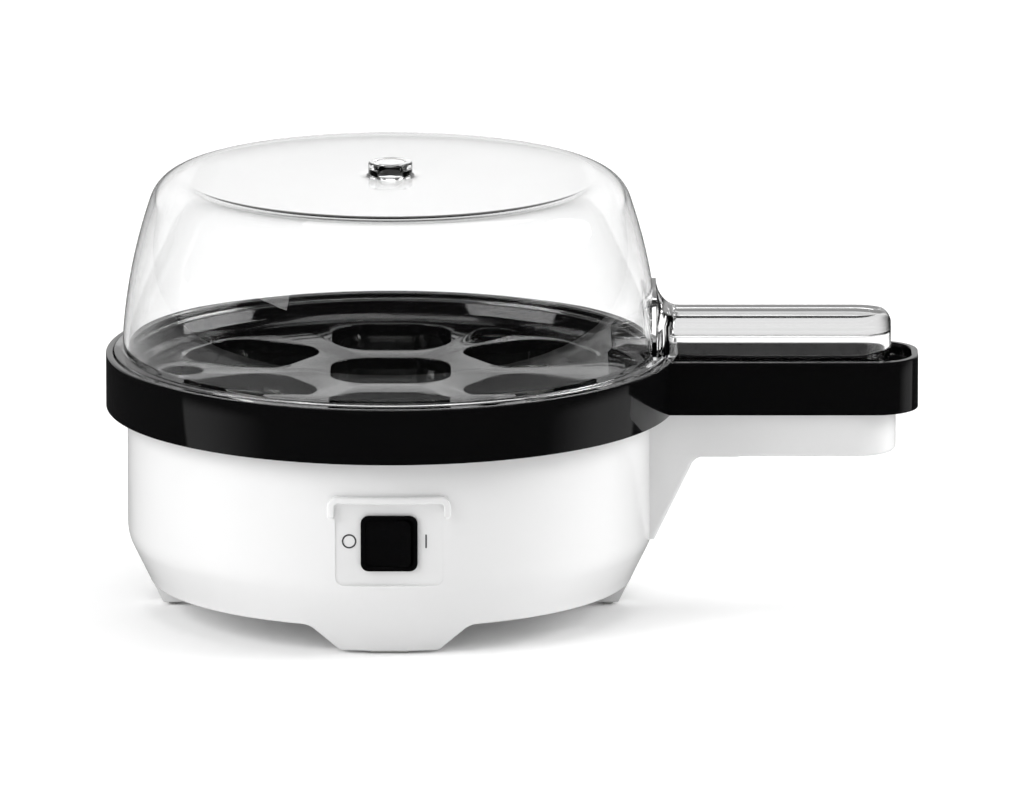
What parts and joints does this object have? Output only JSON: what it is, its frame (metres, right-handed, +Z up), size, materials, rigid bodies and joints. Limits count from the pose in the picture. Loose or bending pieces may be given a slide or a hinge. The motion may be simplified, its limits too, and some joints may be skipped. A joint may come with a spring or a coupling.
{
  "type": "egg cooker",
  "caption": "Round electric egg cooker with a white housing, a lift-out black egg rack, a clear dome lid with a vent, a side handle and a rocker switch.",
  "frame": {"origin": "middle of the overall footprint, on the surface that the feet stand on", "axes": "+Z up, +X along the side handle, away from the dome; the switch faces -Y"},
  "size_m": [0.2713, 0.1902, 0.1508],
  "materials": {
    "white_plastic": "glossy moulded",
    "black_plastic": "glossy moulded",
    "clear_plastic": "clear polished",
    "switch_plastic": "glossy moulded",
    "pad_rubber": "matt",
    "gland_rubber": "matt",
    "seal_silicone": "satin",
    "dish_steel": "spun",
    "zinc_steel": "zinc plated",
    "spreader_aluminium": "cast",
    "element_steel": "heat tinted",
    "ceramic_white": "glazed ceramic and thermoset",
    "terminal_brass": "stamped",
    "contact_bronze": "stamped",
    "fuse_sleeve": "woven glass sleeve",
    "lead_brown": "silicone insulation",
    "lead_blue": "silicone insulation",
    "lead_green": "silicone insulation"
  },
  "bodies": {
    "base": {"base_cover": "white_plastic", "base_housing": "white_plastic", "cord_clamp": "white_plastic", "cord_clamp_screw_1": "zinc_steel", "cord_clamp_screw_2": "zinc_steel", "cord_gland": "gland_rubber", "cover_screw_1": "zinc_steel", "cover_screw_2": "zinc_steel", "cover_screw_3": "zinc_steel", "cover_screw_4": "zinc_steel", "dish_screw_1": "zinc_steel", "dish_screw_2": "zinc_steel", "dish_screw_3": "zinc_steel", "dish_seal": "seal_silicone", "foot_pad_back": "pad_rubber", "foot_pad_front": "pad_rubber", "foot_pad_left": "pad_rubber", "foot_pad_right": "pad_rubber", "heat_spreader": "spreader_aluminium", "heating_dish": "dish_steel", "heating_element": "element_steel", "lead_earth": "lead_green", "lead_fuse_in": "lead_brown", "lead_fuse_out": "lead_brown", "lead_live": "lead_brown", "lead_neutral": "lead_blue", "lead_switched": "lead_brown", "switch_body": "switch_plastic", "switch_terminal_1": "terminal_brass", "switch_terminal_2": "terminal_brass", "terminal_block": "ceramic_white", "thermal_fuse": "fuse_sleeve", "thermostat": "ceramic_white", "thermostat_bracket": "zinc_steel", "thermostat_nut_1": "zinc_steel", "thermostat_nut_2": "zinc_steel"},
    "carrier": {"egg_carrier": "black_plastic"},
    "lid": {"lid": "clear_plastic"},
    "rocker": {"switch_rocker": "switch_plastic"},
    "lever": {"contact_lever": "contact_bronze"}
  },
  "joints": [
    {"name": "carrier_lift", "type": "slide", "parent": "base", "child": "carrier", "axis": [0, 0, 1], "range_m": [0, 0.09]},
    {"name": "lid_lift", "type": "slide", "parent": "carrier", "child": "lid", "axis": [0, 0, 1], "range_m": [0, 0.13]},
    {"name": "rocker_tilt", "type": "hinge", "parent": "base", "child": "rocker", "pos_m": [-0.04055, -0.0842, 0.0399], "axis": [0, 0, 1], "range_deg": [0, 12]},
    {"name": "lever_tilt", "type": "hinge", "parent": "base", "child": "lever", "pos_m": [-0.04055, -0.0744, 0.0399], "axis": [0, 0, 1], "range_deg": [-10, 0]}
  ],
  "couplings": [
    {"joint": "lever_tilt", "follows": "rocker_tilt", "ratio": -0.83333}
  ]
}
